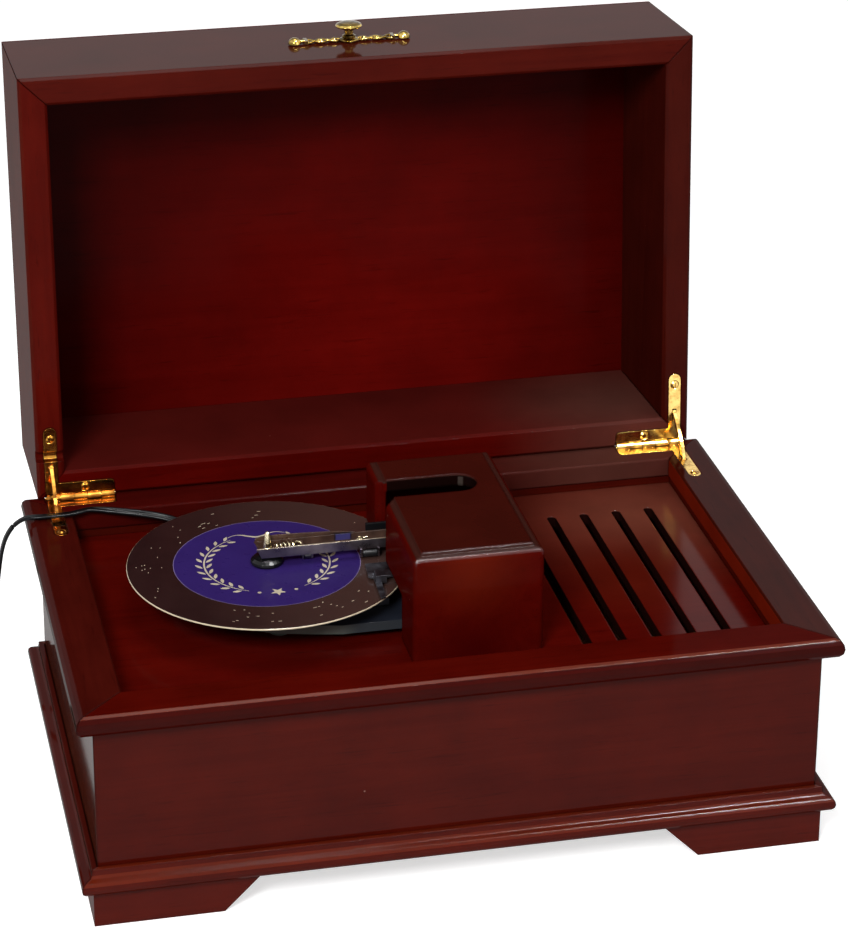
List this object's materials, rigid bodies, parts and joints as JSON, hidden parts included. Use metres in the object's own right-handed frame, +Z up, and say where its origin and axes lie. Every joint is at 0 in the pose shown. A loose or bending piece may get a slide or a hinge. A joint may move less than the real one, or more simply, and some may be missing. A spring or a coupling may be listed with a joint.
{
  "type": "disc music box",
  "caption": "Lacquered wooden music box with its lid up: a motor turns a tune disc under a hinged pressure arm, beside a movement cover and sound slots; stay hinges, brass knob, corded adapter.",
  "frame": {"origin": "middle of the footprint of the box with its lid open, on the plane that its feet stand on", "axes": "+Z up, -Y towards the front, +X to the right as seen from the front"},
  "size_m": [0.4069, 0.2769, 0.2873],
  "materials": {
    "lacquered_wood": "high gloss red-brown lacquer",
    "plywood": "plain stained ply",
    "polished_brass": "polished",
    "bright_steel": "bright",
    "dark_steel": "gunmetal with bright edges",
    "black_metal": "satin black",
    "lacquered_disc": "gloss maroon with a violet printed centre",
    "gloss_black_plastic": "gloss",
    "black_plastic": "fine texture",
    "cord_sheath": "smooth",
    "black_rubber": "matt"
  },
  "bodies": {
    "case": {"case_front_wall": "lacquered_wood", "case_back_wall": "lacquered_wood", "case_left_wall": "lacquered_wood", "case_right_wall": "lacquered_wood", "plinth_front": "lacquered_wood", "plinth_back": "lacquered_wood", "plinth_left": "lacquered_wood", "plinth_right": "lacquered_wood", "foot_front_left": "lacquered_wood", "foot_front_right": "lacquered_wood", "foot_rear_left": "lacquered_wood", "foot_rear_right": "lacquered_wood", "frame_front_rail": "lacquered_wood", "frame_back_rail": "lacquered_wood", "frame_left_rail": "lacquered_wood", "frame_right_rail": "lacquered_wood", "tray_deck": "lacquered_wood", "movement_cover": "lacquered_wood", "case_bottom_panel": "plywood", "hinge_left_base_leaf": "polished_brass", "hinge_right_base_leaf": "polished_brass", "hinge_left_pin": "polished_brass", "hinge_right_pin": "polished_brass", "hinge_left_base_screw": "polished_brass", "hinge_right_base_screw": "polished_brass", "bedplate": "black_metal", "comb": "bright_steel", "drive_motor": "bright_steel", "arm_bracket": "black_metal", "arm_pivot_pin": "bright_steel", "disc_guide": "bright_steel", "cord_clamp": "black_plastic", "power_lead": "cord_sheath", "lead_coil": "cord_sheath", "wall_adapter": "black_plastic"},
    "lid": {"lid_front_wall": "lacquered_wood", "lid_back_wall": "lacquered_wood", "lid_left_wall": "lacquered_wood", "lid_right_wall": "lacquered_wood", "lid_top_panel": "lacquered_wood", "knob_backplate": "polished_brass", "lid_knob": "polished_brass", "hinge_left_lid_leaf": "polished_brass", "hinge_right_lid_leaf": "polished_brass", "hinge_left_lid_side_screw": "polished_brass", "hinge_left_lid_back_screw": "polished_brass", "hinge_right_lid_side_screw": "polished_brass", "hinge_right_lid_back_screw": "polished_brass"},
    "stay_left": {"hinge_left_stay": "polished_brass"},
    "stay_right": {"hinge_right_stay": "polished_brass"},
    "turntable": {"turntable_spindle": "bright_steel", "tune_disc": "lacquered_disc", "disc_cap": "gloss_black_plastic"},
    "pinion": {"motor_pinion": "polished_brass"},
    "star_wheels": {"star_wheel_stack": "polished_brass"},
    "arm": {"pressure_arm": "dark_steel", "arm_finger_stud": "polished_brass", "arm_spring": "polished_brass"},
    "inner_roller": {"roller_inner": "bright_steel"},
    "outer_roller": {"roller_outer": "black_rubber"}
  },
  "joints": [
    {"name": "lid_hinge", "type": "hinge", "parent": "case", "child": "lid", "pos_m": [0, 0.05304, 0.0944], "axis": [1, 0, 0], "range_deg": [0, 94]},
    {"name": "left_stay_pivot", "type": "hinge", "parent": "lid", "child": "stay_left", "pos_m": [-0.1392, 0.05462, 0.10832], "axis": [1, 0, 0], "range_deg": [-45.5, 0]},
    {"name": "right_stay_pivot", "type": "hinge", "parent": "lid", "child": "stay_right", "pos_m": [0.1392, 0.05462, 0.10832], "axis": [1, 0, 0], "range_deg": [-45.5, 0]},
    {"name": "arm_pivot", "type": "hinge", "parent": "case", "child": "arm", "pos_m": [-0.0033, -0.03456, 0.1053], "axis": [0, 1, 0], "range_deg": [0, 130]},
    {"name": "turntable_spin", "type": "hinge", "parent": "case", "child": "turntable", "pos_m": [-0.0611, -0.03456, 0.0983], "axis": [0, 0, 1], "continuous": true},
    {"name": "pinion_spin", "type": "hinge", "parent": "case", "child": "pinion", "pos_m": [-0.07187, -0.02379, 0.0913], "axis": [0, 0, 1], "continuous": true},
    {"name": "star_wheel_spin", "type": "hinge", "parent": "case", "child": "star_wheels", "pos_m": [-0.0313, -0.03456, 0.0944], "axis": [1, 0, 0], "continuous": true},
    {"name": "inner_roller_spin", "type": "hinge", "parent": "arm", "child": "inner_roller", "pos_m": [-0.0443, -0.03456, 0.1011], "axis": [1, 0, 0], "continuous": true},
    {"name": "outer_roller_spin", "type": "hinge", "parent": "arm", "child": "outer_roller", "pos_m": [-0.0188, -0.03826, 0.1011], "axis": [1, 0, 0], "continuous": true}
  ],
  "couplings": [
    {"joint": "left_stay_pivot", "follows": "lid_hinge", "ratio": -0.48298},
    {"joint": "right_stay_pivot", "follows": "lid_hinge", "ratio": -0.48298},
    {"joint": "pinion_spin", "follows": "turntable_spin", "ratio": -4}
  ]
}
